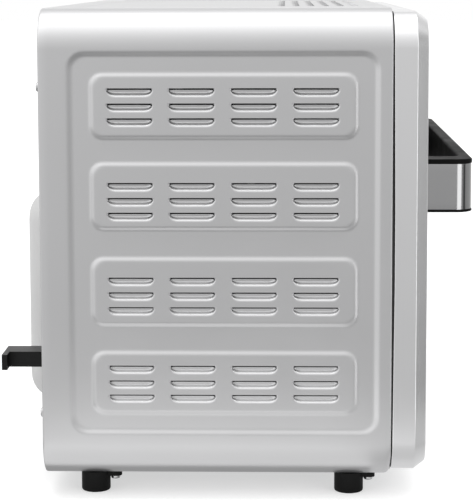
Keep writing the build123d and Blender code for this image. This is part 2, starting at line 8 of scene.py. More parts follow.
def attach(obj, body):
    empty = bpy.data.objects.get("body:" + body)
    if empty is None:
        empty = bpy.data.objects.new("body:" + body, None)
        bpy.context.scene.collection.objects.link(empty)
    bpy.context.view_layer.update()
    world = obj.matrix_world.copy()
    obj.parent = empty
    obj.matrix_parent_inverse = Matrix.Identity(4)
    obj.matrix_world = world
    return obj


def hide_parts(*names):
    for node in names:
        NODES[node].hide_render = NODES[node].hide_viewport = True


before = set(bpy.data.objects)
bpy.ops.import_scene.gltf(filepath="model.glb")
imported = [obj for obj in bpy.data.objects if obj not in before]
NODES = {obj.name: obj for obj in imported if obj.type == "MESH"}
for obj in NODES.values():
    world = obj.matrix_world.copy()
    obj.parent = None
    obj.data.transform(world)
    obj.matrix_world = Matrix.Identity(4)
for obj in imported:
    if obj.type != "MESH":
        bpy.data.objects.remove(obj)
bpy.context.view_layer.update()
MM = 0.001


# =============================================================== node helpers
def new_mat(name):
    m = bpy.data.materials.new(name)
    m.use_nodes = True
    nt = m.node_tree
    nt.nodes.clear()
    out = nt.nodes.new("ShaderNodeOutputMaterial")
    b = nt.nodes.new("ShaderNodeBsdfPrincipled")
    nt.links.new(b.outputs[0], out.inputs[0])
    return m, nt, b


def coords(nt, scale=(1, 1, 1), rot=(0, 0, 0)):
    tc = nt.nodes.new("ShaderNodeTexCoord")
    mp = nt.nodes.new("ShaderNodeMapping")
    mp.inputs["Scale"].default_value = scale
    mp.inputs["Rotation"].default_value = rot
    nt.links.new(tc.outputs["Object"], mp.inputs["Vector"])
    return mp.outputs[0]


def noise(nt, vec, scale, detail=3.0, rough=0.55):
    n = nt.nodes.new("ShaderNodeTexNoise")
    n.inputs["Scale"].default_value = scale
    n.inputs["Detail"].default_value = detail
    n.inputs["Roughness"].default_value = rough
    nt.links.new(vec, n.inputs["Vector"])
    return n.outputs["Fac"]


def ramp(nt, fac, stops):
    r = nt.nodes.new("ShaderNodeValToRGB")
    e = r.color_ramp.elements
    while len(e) > len(stops):
        e.remove(e[-1])
    while len(e) < len(stops):
        e.new(0.5)
    for k, (p, c) in enumerate(stops):
        e[k].position = p
        e[k].color = (*c, 1.0) if len(c) == 3 else c
    nt.links.new(fac, r.inputs["Fac"])
    return r.outputs["Color"]


def remap(nt, fac, lo, hi):
    r = nt.nodes.new("ShaderNodeMapRange")
    r.inputs["To Min"].default_value = lo
    r.inputs["To Max"].default_value = hi
    r.inputs["From Min"].default_value = 0.25
    r.inputs["From Max"].default_value = 0.75
    nt.links.new(fac, r.inputs["Value"])
    return r.outputs["Result"]


def bump(nt, b, height, strength, distance):
    n = nt.nodes.new("ShaderNodeBump")
    n.inputs["Strength"].default_value = strength
    n.inputs["Distance"].default_value = distance
    nt.links.new(height, n.inputs["Height"])
    nt.links.new(n.outputs["Normal"], b.inputs["Normal"])


def g3(v, tint=(1, 1, 1)):
    return (v * tint[0], v * tint[1], v * tint[2])


def metal(name, base, r0, r1, grain=(1, 1, 1), gscale=220.0, gstrength=0.04, vary=0.03, tint=(1, 1, 1.01),
          metallic=1.0, aniso=0.0):
    """Sheet metal: slow tone changes, fine grain stretched along one way, uneven gloss."""
    m, nt, b = new_mat(name)
    slow = noise(nt, coords(nt), 7.0, 2.0)
    nt.links.new(ramp(nt, slow, [(0.25, g3(base - vary, tint)), (0.75, g3(base + vary, tint))]), b.inputs["Base Color"])
    fine = noise(nt, coords(nt, grain), gscale, 4.0, 0.6)
    cloud = noise(nt, coords(nt), 26.0, 3.0)
    mix = nt.nodes.new("ShaderNodeMath")
    mix.operation = "ADD"
    mul = nt.nodes.new("ShaderNodeMath")
    mul.operation = "MULTIPLY"
    mul.inputs[1].default_value = 0.5
    nt.links.new(fine, mix.inputs[0])
    nt.links.new(cloud, mix.inputs[1])
    nt.links.new(mix.outputs[0], mul.inputs[0])
    nt.links.new(remap(nt, mul.outputs[0], r0, r1), b.inputs["Roughness"])
    b.inputs["Metallic"].default_value = metallic
    b.inputs["Anisotropic"].default_value = aniso
    bump(nt, b, fine, gstrength, 0.0001)
    return m


def plastic(name, base, r0, r1, gscale=900.0, gstrength=0.12, coat=0.0, spec=0.5, tint=(1, 1, 1)):
    m, nt, b = new_mat(name)
    slow = noise(nt, coords(nt), 30.0, 3.0)
    nt.links.new(ramp(nt, slow, [(0.3, g3(base * 0.88, tint)), (0.7, g3(base * 1.12, tint))]), b.inputs["Base Color"])
    nt.links.new(remap(nt, slow, r0, r1), b.inputs["Roughness"])
    fine = noise(nt, coords(nt), gscale, 2.0, 0.5)
    bump(nt, b, fine, gstrength, 0.0003)
    b.inputs["Coat Weight"].default_value = coat
    b.inputs["Specular IOR Level"].default_value = spec
    return m


def glassy(name, tint, rough, alpha_mix=0.0):
    m, nt, b = new_mat(name)
    smear = noise(nt, coords(nt, (1, 1, 1)), 9.0, 4.0)
    nt.links.new(remap(nt, smear, rough, rough + 0.03), b.inputs["Roughness"])
    b.inputs["Base Color"].default_value = (*tint, 1)
    b.inputs["Transmission Weight"].default_value = 1.0
    b.inputs["IOR"].default_value = 1.45
    return m


# =============================================================== materials
M = {}
M["casing"] = metal("satin_casing", 0.74, 0.32, 0.40, (1, 0.12, 1), 420.0, 0.03, 0.010)
M["bezel"] = metal("satin_bezel", 0.95, 0.22, 0.28, (1, 1, 0.1), 420.0, 0.03, 0.010)
M["door"] = metal("brushed_door", 0.70, 0.26, 0.36, (0.03, 1, 1), 900.0, 0.05, 0.03)
M["band"] = metal("handle_band_steel", 0.48, 0.11, 0.15, (0.05, 0.05, 1), 700.0, 0.04, 0.010)
# near-black material for painted shade in the seam: it goes on the casing's front hem and the bezel's rear flange,
# where shade falls in the gap between them
M["gap"] = plastic("gap_paint", 0.006, 0.7, 0.85, 900.0, 0.05, 0.0, 0.05)
M["frame_coat"] = plastic("chassis_coating", 0.030, 0.5, 0.65, 900.0, 0.10, 0.0, 0.3)
M["zinc"] = metal("zinc_sheet", 0.60, 0.34, 0.50, (1, 1, 1), 60.0, 0.05, 0.05, (0.98, 1.0, 1.02))
M["housing"] = metal("housing_sheet", 0.60, 0.40, 0.52, (1, 1, 1), 160.0, 0.05, 0.015, (1, 1, 1), 0.25)
M["cavity"] = plastic("cavity_coating", 0.040, 0.38, 0.55, 700.0, 0.12, 0.0, 0.5, (1.0, 1.0, 1.03))
M["black"] = plastic("black_moulding", 0.006, 0.42, 0.55, 1500.0, 0.10, 0.0, 0.15)
M["hook"] = plastic("hook_moulding", 0.005, 0.32, 0.44, 1500.0, 0.12, 0.0, 0.28)
M["grip"] = plastic("satin_grip", 0.005, 0.40, 0.54, 1700.0, 0.06, 0.0, 0.04)
M["gloss"] = plastic("gloss_black", 0.006, 0.07, 0.12, 300.0, 0.008, 0.0, 0.5)
M["key"] = plastic("key_black", 0.030, 0.26, 0.36, 1400.0, 0.05)
M["rubber"] = plastic("rubber", 0.006, 0.55, 0.75, 900.0, 0.15, 0.0, 0.15)
M["screw"] = metal("screw_zinc", 0.70, 0.20, 0.34, (1, 1, 1), 400.0, 0.05, 0.03)
M["shaft"] = metal("ground_steel", 0.62, 0.16, 0.26, (1, 0.1, 1), 500.0, 0.03, 0.02)
M["wire"] = metal("bright_wire", 0.78, 0.12, 0.22, (1, 1, 1), 260.0, 0.03, 0.02)
M["tray"] = metal("aluminised_tray", 0.52, 0.34, 0.48, (0.3, 1, 1), 90.0, 0.05, 0.05)
M["heater"] = metal("oxidised_sheath", 0.30, 0.45, 0.6, (0.2, 1, 1), 300.0, 0.08, 0.06, (1.04, 0.98, 0.9), 0.7)
M["ceramic"] = plastic("white_ceramic", 0.72, 0.35, 0.5, 700.0, 0.08, 0.0, 0.5, (1.0, 0.985, 0.94))
M["fan"] = metal("fan_aluminium", 0.72, 0.26, 0.4, (1, 1, 1), 200.0, 0.04, 0.03)
M["iron"] = metal("lamination", 0.22, 0.4, 0.6, (1, 0.02, 1), 900.0, 0.2, 0.04)
M["bronze"] = metal("sintered_bronze", 0.6, 0.3, 0.45, (1, 1, 1), 300.0, 0.06, 0.04, (1.0, 0.74, 0.42))
M["board"] = plastic("circuit_board", 0.10, 0.35, 0.5, 500.0, 0.05, 0.2, 0.5, (0.25, 1.0, 0.5))
M["module"] = plastic("display_body", 0.006, 0.3, 0.4, 900.0, 0.04)
M["door_glass"] = glassy("door_glass", (0.80, 0.82, 0.815), 0.0)
M["lamp_glass"] = glassy("lamp_glass", (0.97, 0.97, 0.94), 0.05)
M["lens"] = glassy("display_window", (0.35, 0.36, 0.38), 0.02)


# =============================================================== CAD nodes: finish and softened edges
FINISH = {
    "base_plate": ("zinc", 0), "back_panel": ("zinc", 0), "rear_motor_housing": ("housing", 0),
    "cord_hooks": ("hook", 0.9), "feet": ("rubber", 0), "foot_screws": ("screw", 0), "back_screws": ("screw", 0),
    "cord_gland": ("black", 0.5), "chassis_front": ("frame_coat", 0), "control_panel": ("gloss", 0.35),
    "display_lens": ("lens", 0.25), "display_module": ("module", 0), "control_board": ("board", 0),
    "cavity_shell": ("cavity", 0), "rack_guides": ("cavity", 0.3), "cavity_brackets": ("zinc", 0), "tray_rails": ("zinc", 0),
    "upper_heaters": ("heater", 0), "lower_heaters": ("heater", 0), "heater_bushes": ("ceramic", 0.3),
    "temperature_probe": ("shaft", 0), "thermal_cutoff": ("ceramic", 0), "lamp_lens": ("lamp_glass", 0),
    "oven_lamp": ("ceramic", 0), "fan_chamber": ("cavity", 0), "fan_cover": ("cavity", 0), "motor_bracket": ("zinc", 0),
    "motor_stator": ("iron", 0), "motor_bushes": ("bronze", 0), "heat_shield": ("zinc", 0), "power_board": ("board", 0),
    "hinge_pins": ("shaft", 0), "hinge_brackets": ("zinc", 0), "convection_fan": ("fan", 0), "fan_shaft": ("shaft", 0),
    "motor_rotor": ("iron", 0), "motor_cooling_fan": ("fan", 0), "door_frame": ("door", 0.5),
    "door_glass_outer": ("door_glass", 0), "door_glass_inner": ("door_glass", 0), "glass_spacer": ("black", 0),
    "door_inner_panel": ("cavity", 0.3), "door_hinge_plates": ("zinc", 0), "door_springs": ("shaft", 0),
    "hinge_screws": ("screw", 0), "handle_screws": ("screw", 0), "rack_catches": ("iron", 0.4),
    "wire_rack": ("wire", 0), "crumb_tray": ("tray", 0.35),
}
for b in ("button_light", "button_fan", "button_mode", "button_minus", "button_plus", "button_start"):
    FINISH[b] = ("key", 0.45)


def dress_all():
    for node, (mat, bev) in FINISH.items():
        o = NODES[node]
        o.data.materials.clear()
        o.data.materials.append(M[mat])
        w = o.modifiers.new("weld", "WELD")
        w.merge_threshold = 0.00002
        if bev:
            d = o.modifiers.new("flats", "DECIMATE")
            d.decimate_type = "DISSOLVE"
            d.angle_limit = math.radians(0.6)
            k = o.modifiers.new("soft", "BEVEL")
            k.width = bev * MM
            k.segments = 3
            k.limit_method = "ANGLE"
            k.angle_limit = math.radians(35)
        for p in o.data.polygons:
            p.use_smooth = True
        g = smooth_group()
        s = o.modifiers.new("by_angle", "NODES")
        s.node_group = g
        if bev:
            n = o.modifiers.new("flat_faces", "WEIGHTED_NORMAL")
            n.keep_sharp = True
            n.weight = 100


_group = {}


def smooth_group():
    """A node group that shades by angle, so that welded CAD meshes keep crisp corners."""
    if "g" in _group:
        return _group["g"]
    g = bpy.data.node_groups.new("shade_by_angle", "GeometryNodeTree")
    g.interface.new_socket("Geometry", in_out="INPUT", socket_type="NodeSocketGeometry")
    g.interface.new_socket("Geometry", in_out="OUTPUT", socket_type="NodeSocketGeometry")
    i = g.nodes.new("NodeGroupInput")
    o = g.nodes.new("NodeGroupOutput")
    ang = g.nodes.new("GeometryNodeInputMeshEdgeAngle")
    cmp_ = g.nodes.new("FunctionNodeCompare")
    cmp_.data_type = "FLOAT"
    cmp_.operation = "LESS_THAN"
    cmp_.inputs[1].default_value = math.radians(32)
    g.links.new(ang.outputs["Unsigned Angle"], cmp_.inputs[0])
    s1 = g.nodes.new("GeometryNodeSetShadeSmooth")
    s1.domain = "FACE"
    s1.inputs["Shade Smooth"].default_value = True
    s2 = g.nodes.new("GeometryNodeSetShadeSmooth")
    s2.domain = "EDGE"
    g.links.new(i.outputs[0], s1.inputs["Geometry"])
    g.links.new(s1.outputs[0], s2.inputs["Geometry"])
    g.links.new(cmp_.outputs[0], s2.inputs["Shade Smooth"])
    g.links.new(s2.outputs[0], o.inputs[0])
    _group["g"] = g
    return g


dress_all()


# =============================================================== mesh helpers
def make(name, verts, faces, mat, body, smooth=True, scale=MM, painted_shade_faces=None, sharp=()):
    me = bpy.data.meshes.new(name)
    me.from_pydata((np.asarray(verts, float) * scale).tolist(), [], [tuple(map(int, f)) for f in faces])
    me.materials.append(M[mat])
    # the flagged faces take the near-black seam material, a painted shade in the gap between parts
    if painted_shade_faces is not None:
        me.materials.append(M["gap"])
        me.polygons.foreach_set("material_index", [1 if d else 0 for d in painted_shade_faces])
    if len(sharp):
        want = {(min(a, b), max(a, b)) for a, b in sharp}
        ev = np.empty(len(me.edges) * 2, dtype=np.int32)
        me.edges.foreach_get("vertices", ev)
        ev = np.sort(ev.reshape(-1, 2), axis=1)
        for k, (a, b) in enumerate(ev.tolist()):
            if (a, b) in want:
                me.edges[k].use_edge_sharp = True
    if smooth:
        me.polygons.foreach_set("use_smooth", [True] * len(me.polygons))
    o = bpy.data.objects.new(name, me)
    bpy.context.scene.collection.objects.link(o)
    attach(o, body)
    return o


def sstep(x):
    x = np.clip(x, 0.0, 1.0)
    return x * x * (3 - 2 * x)


def rr_dist(a, b, a0, a1, b0, b1, r):
    """Signed distance to a rounded rectangle, negative inside."""
    ca, cb = (a0 + a1) / 2, (b0 + b1) / 2
    qa = np.abs(a - ca) - (a1 - a0) / 2 + r
    qb = np.abs(b - cb) - (b1 - b0) / 2 + r
    return np.hypot(np.maximum(qa, 0), np.maximum(qb, 0)) + np.minimum(np.maximum(qa, qb), 0) - r


def lines(fixed, wanted, lo, hi, gap=0.34, most=7.0):
    """Sorted grid lines: every fixed one, the wanted ones that aren't too near, then filled so no gap passes most."""
    got = sorted(set(round(v, 4) for v in fixed if lo - 1e-6 <= v <= hi + 1e-6))
    for w in sorted(wanted):
        if lo < w < hi and min(abs(w - g) for g in got) >= gap:
            got.append(round(w, 4))
    got = sorted(got)
    out = [got[0]]
    for v in got[1:]:
        n = int(math.ceil((v - out[-1]) / most))
        a = out[-1]
        for k in range(1, n + 1):
            out.append(a + (v - a) * k / n)
    return np.array(out)


# =============================================================== casing
HALF_W, Z0, Z1, R = 259.2, 15.2, 356.6, 27.5
Y0, Y1 = -113.4, 138.9
RECESS = (-102.8, 116.6, 51.2, 324.7)
PADS = [(-88.0, 101.3, 265.0, 310.0), (-88.0, 101.3, 199.5, 246.3), (-88.0, 101.3, 129.7, 177.9), (-88.0, 101.3, 65.2, 109.5)]
LY = (90.5, 46.3, 2.0, -42.3)
LZ = (300.3, 289.5, 279.0, 232.7, 221.9, 211.3, 164.3, 153.6, 142.8, 100.0, 89.1, 78.7)
LLEN, LH, LD, SLIT = 33.5, 6.5, 2.7, 1.2
PRESS, RAISE, RW, PW = 1.5, 1.2, 4.7, 3.9
VENT_Y = [-35.0 - 11.8 * i for i in range(6)]
VENT_X = [-82.0 + 50.0 * i for i in range(6)]
VLEN, VH, VD, VSLIT = 40.0, 6.4, 2.0, 3.2
TOP_PANEL = (-179.0, 215.0, -104.0, 118.0)


def scoop(along, across, half, height, depth, flat, q0=0.42):
    """Depth of one pressed louvre. across runs from the cut (0) into the scoop; along is from its middle."""
    t = np.clip((np.abs(along) - flat) / (half - flat), 0, 1)
    tb = height * np.sqrt(np.maximum(1 - t * t, 0))
    q = np.where(tb > 1e-3, across / np.maximum(tb, 1e-3), 9.0)
    s = (1 - sstep((q - q0) / (1 - q0))) * (0.72 + 0.28 * np.clip(q / q0, 0, 1))
    g = np.minimum(1.0, tb / height * 1.15)
    inside = (np.abs(along) < half) & (across > 1e-6) & (across < height)
    return np.where(inside, depth * s * g, 0.0)


def end_lines(a0, a1):
    mid = (a0 + a1) / 2
    off = (-0.45, 0, 0.45, 1.0, 1.6, 2.4, 3.6, 5.2, 6.5)
    return [a0 + o for o in off] + [a1 - o for o in off] + [mid]


def cut_lines(c, sign, height, slit=SLIT):
    return [c - sign * 0.5, c] + [c + sign * t for t in (slit, 2.0, 2.8, 3.5, 4.2, 4.8, 5.4, 5.9) if t >= slit - 1e-9] + [c + sign * height, c + sign * (height + 0.45)]


def border_lines(v, sign, w):
    s = w / 2
    base = [v + s * k for k in (-1.25, -0.85, -0.5, -0.2, 0.2, 0.5, 0.85, 1.25)]
    return base + [v + sign * k for k in (4.0, 5.5, 7.2, 9.2, 11.5)]


def front_rear_rows():
    """(y, inset) rows of the rounded front hem and of the rear edge."""
    rf = 0.7
    front = [(Y0 + 0.5, 4.2), (Y0, 3.2), (Y0, 1.25), (Y0, rf)]
    for k in (75, 60, 45, 30, 15):
        a = math.radians(k)
        front.append((Y0 + rf - rf * math.sin(a), rf - rf * math.cos(a)))
    rr = 1.1
    rear = []
    for k in (20, 40, 60, 78):
        a = math.radians(k)
        rear.append((Y1 - rr + rr * math.sin(a), rr - rr * math.cos(a)))
    return front, rear, Y0 + rf, Y1 - rr


def side_height(y, z):
    h = -PRESS * sstep((-rr_dist(y, z, *RECESS, 11.0) + RW / 2) / RW)
    for p in PADS:
        h = h + RAISE * sstep((-rr_dist(y, z, *p, 8.5) + PW / 2) / PW)
    for zc in LZ:
        for yr in LY:
            yc = yr - LLEN / 2
            near = (np.abs(y - yc) < LLEN) & (np.abs(z - zc) < LH + 1)
            if near.any():
                h = h - np.where(near, scoop(y - yc, zc - z, LLEN / 2, LH, LD, 10.6), 0.0)
    return h


def casing_side(sign, name):
    front, rear, ya, yb = front_rear_rows()
    fixed_y = [ya, yb]
    for yr in LY:
        fixed_y += end_lines(yr - LLEN, yr)
    want_y = [Y0 + t for t in (1.1, 1.6, 2.2, 3.0, 3.8, 4.6)] + border_lines(RECESS[0], 1, RW) + border_lines(RECESS[1], -1, RW)
    want_y += border_lines(PADS[0][0], 1, PW) + border_lines(PADS[0][1], -1, PW)
    ys = lines(fixed_y, want_y, ya, yb, 0.34, 9.0)
    fixed_z = [Z0 + R, Z1 - R]
    for zc in LZ:
        fixed_z += cut_lines(zc, -1, LH)
    want_z = border_lines(RECESS[2], 1, RW) + border_lines(RECESS[3], -1, RW)
    for p in PADS:
        want_z += border_lines(p[2], 1, PW) + border_lines(p[3], -1, PW)
    zs = lines(fixed_z, want_z, Z0 + R, Z1 - R, 0.34, 9.0)
    # stations round the section: (x, z, nx, nz, z of the flat or None)
    st = [(-205.0, Z0, 0, -1, None), (-215.0, Z0, 0, -1, None), (-225.0, Z0, 0, -1, None)]
    for k in range(0, 16):
        a = math.radians(270 - 90 * k / 16)
        st.append((-(HALF_W - R) + R * math.cos(a), Z0 + R + R * math.sin(a), math.cos(a), math.sin(a), None))
    for z in zs:
        st.append((-HALF_W, z, -1, 0, z))
    for k in range(1, 17):
        a = math.radians(180 - 90 * k / 16)
        st.append((-(HALF_W - R) + R * math.cos(a), Z1 - R + R * math.sin(a), math.cos(a), math.sin(a), None))
    st += [(-229.0, Z1, 0, 1, None), (-225.0, Z1, 0, 1, None)]
    st = [(x, z, nx, nz, f) for x, z, nx, nz, f in st]
    S = np.array([(x, z, nx, nz) for x, z, nx, nz, f in st])
    flat = np.array([f is not None for *_, f in st])
    rows = [(y, i) for y, i in front] + [(y, 0.0) for y in ys] + [(y, i) for y, i in rear]
    ry = np.array([r[0] for r in rows])
    ri = np.array([r[1] for r in rows])
    YY, ZZ = np.meshgrid(ry, S[:, 1])
    H = np.where(flat[:, None], side_height(YY, ZZ), 0.0)
    under = sstep(-S[:, 3] / 0.7)[:, None]
    near = np.clip(Y0 + 4.5 - ry, 0.0, 4.4)[None, :]
    H = H - np.maximum(ri[None, :], under * (4.5 - np.sqrt(20.25 - near ** 2)))
    X = S[:, 0][:, None] + S[:, 2][:, None] * H
    Z = S[:, 1][:, None] + S[:, 3][:, None] * H
    V = np.stack([X * -sign, YY, Z], -1).reshape(-1, 3)
    ns, ny = H.shape
    faces = []
    zrow = S[:, 1]
    slit_rows = {}
    for i in range(ns - 1):
        if flat[i] and flat[i + 1]:
            for zc in LZ:
                if abs(zrow[i + 1] - zc) < 1e-3 and abs(zrow[i] - (zc - SLIT)) < 1e-3:
                    slit_rows[i] = zc
    for i in range(ns - 1):
        for j in range(ny - 1):
            if i in slit_rows:
                ym = (ry[j] + ry[j + 1]) / 2
                if any(yr - LLEN + 1.05 < ym < yr - 1.05 for yr in LY):
                    continue
            a, b, c, d = i * ny + j, i * ny + j + 1, (i + 1) * ny + j + 1, (i + 1) * ny + j
            faces.append((a, d, c, b) if sign < 0 else (a, b, c, d))
    # front hem faces turned in more than 1.2 mm get painted shade, so the seam to the bezel reads dark
    painted_shade_faces = [all(ri[v % ny] > 1.2 for v in f) and ry[f[0] % ny] < 0 for f in faces]
    sharp = []
    for i in range(ns):
        if flat[i] and any(abs(zrow[i] - zc) < 1e-3 for zc in LZ):
            for j in range(ny - 1):
                ym = (ry[j] + ry[j + 1]) / 2
                if any(yr - LLEN < ym < yr for yr in LY):
                    sharp.append((i * ny + j, i * ny + j + 1))
    o = make(name, V, faces, "casing", "body", painted_shade_faces=painted_shade_faces, sharp=sharp)
    m = o.modifiers.new("sheet", "SOLIDIFY")
    m.thickness = 0.0008
    m.offset = -1
    m.use_even_offset = False
    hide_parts("casing_wrap")
    return o


def casing_top():
    front, rear, ya, yb = front_rear_rows()
    fixed_y = [ya, yb]
    for yc in VENT_Y:
        fixed_y += cut_lines(yc - VSLIT / 2, 1, VH, VSLIT)
    want_y = border_lines(TOP_PANEL[2], 1, 4.0) + border_lines(TOP_PANEL[3], -1, 4.0)
    ys = lines(fixed_y, want_y, ya, yb, 0.34, 12.0)
    fixed_x = [-225.0, 225.0]
    for xc in VENT_X:
        fixed_x += end_lines(xc - VLEN / 2, xc + VLEN / 2)
    want_x = border_lines(TOP_PANEL[0], 1, 4.0) + border_lines(TOP_PANEL[1], -1, 4.0) + border_lines(-22.0, 1, 3.0)
    xs = lines(fixed_x, want_x, -225, 225, 0.34, 12.0)
    rows = [(y, i) for y, i in front] + [(y, 0.0) for y in ys] + [(y, i) for y, i in rear]
    ry = np.array([r[0] for r in rows])
    ri = np.array([r[1] for r in rows])
    XX, YY = np.meshgrid(xs, ry, indexing="ij")
    H = -0.9 * sstep((-rr_dist(XX, YY, *TOP_PANEL, 12.0) + 2.0) / 4.0)
    for yc in VENT_Y:
        for xc in VENT_X:
            H = H - scoop(XX - xc, YY - (yc - VSLIT / 2), VLEN / 2, VH, VD, 13.8, 0.52)
    H = H - ri[None, :]
    V = np.stack([XX, YY, Z1 + H], -1).reshape(-1, 3)
    nx, ny = H.shape
    faces = []
    slit = [j for j in range(ny - 1) for yc in VENT_Y
            if abs(ry[j] - (yc - VSLIT / 2)) < 1e-3 and abs(ry[j + 1] - (yc + VSLIT / 2)) < 1e-3]
    for i in range(nx - 1):
        xm = (xs[i] + xs[i + 1]) / 2
        opened = any(abs(xm - xc) < VLEN / 2 - 1.05 for xc in VENT_X)
        for j in range(ny - 1):
            if opened and j in slit:
                continue
            a, b, c, d = i * ny + j, i * ny + j + 1, (i + 1) * ny + j + 1, (i + 1) * ny + j
            faces.append((a, d, c, b))
    # front hem faces turned in more than 1.2 mm get painted shade, so the seam to the bezel reads dark
    painted_shade_faces = [all(ri[v % ny] > 1.2 for v in f) and ry[f[0] % ny] < 0 for f in faces]
    sharp = []
    for j in range(ny):
        if any(abs(ry[j] - (yc - VSLIT / 2)) < 1e-3 for yc in VENT_Y):
            for i in range(nx - 1):
                if any(abs((xs[i] + xs[i + 1]) / 2 - xc) < VLEN / 2 for xc in VENT_X):
                    sharp.append((i * ny + j, (i + 1) * ny + j))
    o = make("casing_top", V, faces, "casing", "body", painted_shade_faces=painted_shade_faces, sharp=sharp)
    m = o.modifiers.new("sheet", "SOLIDIFY")
    m.thickness = 0.0008
    m.offset = -1
    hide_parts("casing_wrap")
    return o


casing_side(1, "casing_left")
casing_side(-1, "casing_right")
casing_top()


# =============================================================== rings swept round a rounded rectangle
def rr_path(x0, x1, z0, z1, r, seg=14, mids=5):
    """Stations (x, z, nx, nz) round a rounded rectangle, outward normals, anticlockwise seen from the front."""
    out = []
    corners = [(x1 - r, z0 + r, -90), (x1 - r, z1 - r, 0), (x0 + r, z1 - r, 90), (x0 + r, z0 + r, 180)]
    for cx, cz, a0 in corners:
        for k in range(seg + 1):
            a = math.radians(a0 + 90 * k / seg)
            out.append((cx + r * math.cos(a), cz + r * math.sin(a), math.cos(a), math.sin(a)))
    full = []
    n = len(out)
    for k in range(n):
        full.append(out[k])
        if (k + 1) % (seg + 1) == 0:
            a, b = out[k], out[(k + 1) % n]
            for q in range(1, mids):
                t = q / mids
                full.append((a[0] + (b[0] - a[0]) * t, a[1] + (b[1] - a[1]) * t, a[2], a[3]))
    return full


def sweep_ring(path, profile, bm):
    """profile: (inset from the path, y). Adds quads between successive profile points; returns the vertex rings."""
    rings = []
    for inset, y in profile:
        rings.append([bm.verts.new(((x - nx * inset) * MM, y * MM, (z - nz * inset) * MM)) for x, z, nx, nz in path])
    n = len(path)
    for a, b in zip(rings, rings[1:]):
        for k in range(n):
            bm.faces.new((a[k], a[(k + 1) % n], b[(k + 1) % n], b[k]))
    return rings


def front_frame():
    bm = bmesh.new()
    outer = rr_path(-257, 257, 18.4, 354.1, 26.0, 18, 5)
    prof = [(4.4, -115.2), (2.4, -115.2), (1.2, -115.2), (0.62, -115.25), (0.25, -115.45), (0.06, -115.8), (0.0, -116.3),
            (0.0, -120.0), (0.0, -126.0), (0.0, -129.5), (0.0, -130.55), (0.02, -130.78), (0.08, -130.99), (0.22, -131.22),
            (0.97, -132.2), (1.95, -133.49), (3.2, -135.13), (4.4, -136.7), (5.15, -137.65), (5.5, -138.12), (5.8, -138.5),
            (6.15, -138.82), (6.55, -139.0), (6.95, -139.08), (7.4, -139.1)]
    rings = sweep_ring(outer, prof, bm)
    # the rear flange faces take the near-black seam material: painted shade in the gap to the casing
    bm.faces.ensure_lookup_table()
    for f in bm.faces[:2 * len(outer)]:
        f.material_index = 1
    # the rear edge bows, so the gap to the casing closes from 1.8 mm at mid height to 0.7 mm at top and bottom
    for ring, amount in zip(rings[:8], (1, 1, 1, 1, 1, 0.95, 0.85, 0.4)):
        for v in ring:
            t = min(1.0, max(0.0, (abs(v.co.z / MM - 190.0) - 20.0) / 130.0))
            v.co.y += 1.1 * t * t * (3 - 2 * t) * amount * MM
    edges = []
    last = rings[-1]
    n = len(last)
    for k in range(n):
        e = bm.edges.get((last[k], last[(k + 1) % n]))
        edges.append(e)
    holes = [((-238.5, 238.5, 41.6, 264.5), 5.0, -124.0), ((-233.0, 233.0, 269.0, 339.0), 5.0, -137.4),
             ((-217.0, 217.0, 26.4, 37.6), 2.5, -134.0)]
    for (a, b, c, d), r, depth in holes:
        path = rr_path(a, b, c, d, r, 8, 4)
        hp = [(-0.55, -139.1), (-0.2, -138.98), (-0.03, -138.72), (0.0, -138.4), (0.0, depth)]
        hr = sweep_ring(path, hp, bm)
        m = len(hr[0])
        edges += [bm.edges.get((hr[0][k], hr[0][(k + 1) % m])) for k in range(m)]
    bmesh.ops.triangle_fill(bm, use_beauty=True, use_dissolve=False, edges=edges)
    bmesh.ops.recalc_face_normals(bm, faces=bm.faces)
    me = bpy.data.meshes.new("front_bezel")
    # the front wall faces -Y
    for f in bm.faces:
        f.smooth = True
    up = [f for f in bm.faces if abs(f.calc_center_median().y + 0.1391) < 1e-5 and abs(f.normal.y) > 0.9]
    if up and sum(f.normal.y for f in up) > 0:
        bmesh.ops.reverse_faces(bm, faces=bm.faces)
    bm.to_mesh(me)
    bm.free()
    me.materials.append(M["bezel"])
    # second slot: the near-black seam material, a painted shade for the rear flange
    me.materials.append(M["gap"])
    o = bpy.data.objects.new("front_bezel", me)
    bpy.context.scene.collection.objects.link(o)
    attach(o, "body")
    s = o.modifiers.new("sheet", "SOLIDIFY")
    s.thickness = 0.0009
    s.offset = -1
    w = o.modifiers.new("normals", "WEIGHTED_NORMAL")
    w.keep_sharp = True
    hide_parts("front_frame")
    return o


front_frame()


# =============================================================== handle
H_HW, H_YF, H_YB, H_R = 197.3, -177.2, -138.9, 13.0
ARM, BAR = 26.0, 9.0


def bow_path(n_arc=14, n_bar=26, n_arm=6):
    """(outer point, outward normal, inner point) along the U in plan, from the left end to the right end."""
    st = []
    xi, yi, ri = H_HW - ARM, H_YF + BAR, 6.0
    left = []
    for k in range(n_arm + 1):
        t = k / n_arm
        y = H_YB + (H_YF + H_R - H_YB) * t
        left.append(((-H_HW, y), (-1.0, 0.0), (-xi, H_YB + (yi + ri - H_YB) * t), (1.0, 0.0)))
    for k in range(1, n_arc + 1):
        a = math.radians(180 + 90 * k / n_arc)
        c, s = math.cos(a), math.sin(a)
        left.append(((-H_HW + H_R + H_R * c, H_YF + H_R + H_R * s), (c, s), (-xi + ri + ri * c, yi + ri + ri * s), (-c, -s)))
    x_o, x_i = -H_HW + H_R, -xi + ri
    for k in range(1, n_bar):
        t = k / n_bar
        left.append(((x_o * (1 - 2 * t), H_YF), (0.0, -1.0), (x_i * (1 - 2 * t), yi), (0.0, 1.0)))
    right = [((-o[0], o[1]), (-n[0], n[1]), (-i[0], i[1]), (-m[0], m[1])) for o, n, i, m in left[:n_arm + n_arc + 1]][::-1]
    return left + right


